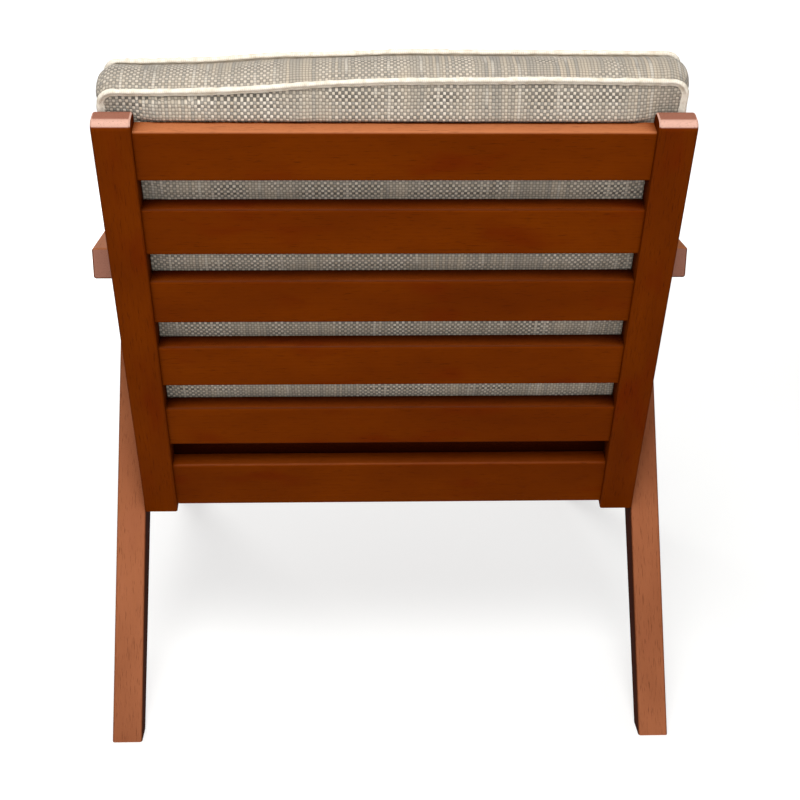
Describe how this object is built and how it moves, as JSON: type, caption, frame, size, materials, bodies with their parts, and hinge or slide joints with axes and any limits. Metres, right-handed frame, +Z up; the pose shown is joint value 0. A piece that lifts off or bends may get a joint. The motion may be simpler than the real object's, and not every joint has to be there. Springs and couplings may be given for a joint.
{
  "type": "outdoor lounge chair",
  "caption": "Outdoor lounge chair with A-shaped side frames, a reclined slatted back, a slatted seat and two loose corded box cushions.",
  "frame": {"origin": "on the floor, under the middle of the chair's overall box", "axes": "+Z up, +X towards the sitter's left, the seat faces -Y and the back leans towards +Y"},
  "size_m": [0.682, 0.7858, 0.8228],
  "materials": {
    "stained_hardwood": "satin stained hardwood",
    "cushion_cover": "woven basket-weave outdoor fabric",
    "cushion_piping": "woven cotton-look piping",
    "cushion_foam": "open-cell foam",
    "bolt_steel": "zinc-plated steel",
    "insert_brass": "turned brass"
  },
  "bodies": {
    "frame": {"armrest_left": "stained_hardwood", "armrest_right": "stained_hardwood", "back_bottom_rail": "stained_hardwood", "back_slat_1": "stained_hardwood", "back_slat_2": "stained_hardwood", "back_slat_3": "stained_hardwood", "back_slat_4": "stained_hardwood", "back_slat_5": "stained_hardwood", "back_stile_left": "stained_hardwood", "back_stile_right": "stained_hardwood", "front_leg_left": "stained_hardwood", "front_leg_right": "stained_hardwood", "front_rail": "stained_hardwood", "leg_bolts": "bolt_steel", "leg_inserts": "insert_brass", "rear_leg_left": "stained_hardwood", "rear_leg_right": "stained_hardwood", "rear_rail": "stained_hardwood", "seat_slat_1": "stained_hardwood", "seat_slat_2": "stained_hardwood", "seat_slat_3": "stained_hardwood", "seat_slat_4": "stained_hardwood", "seat_slat_5": "stained_hardwood", "seat_slat_6": "stained_hardwood", "seat_slat_7": "stained_hardwood", "side_rail_left": "stained_hardwood", "side_rail_right": "stained_hardwood"},
    "seat_cushion": {"seat_cushion_boxing": "cushion_cover", "seat_cushion_core": "cushion_foam", "seat_cushion_lower_panel": "cushion_cover", "seat_cushion_lower_piping": "cushion_piping", "seat_cushion_upper_panel": "cushion_cover", "seat_cushion_upper_piping": "cushion_piping"},
    "back_cushion": {"back_cushion_boxing": "cushion_cover", "back_cushion_core": "cushion_foam", "back_cushion_front_panel": "cushion_cover", "back_cushion_front_piping": "cushion_piping", "back_cushion_rear_panel": "cushion_cover", "back_cushion_rear_piping": "cushion_piping"}
  },
  "joints": [
    {"name": "seat_cushion_lift", "type": "slide", "parent": "frame", "child": "seat_cushion", "axis": [0, 0, 1], "range_m": [0, 0.3]},
    {"name": "back_cushion_lift", "type": "slide", "parent": "frame", "child": "back_cushion", "axis": [0, 0.3387, 0.9409], "range_m": [0, 0.5]}
  ]
}
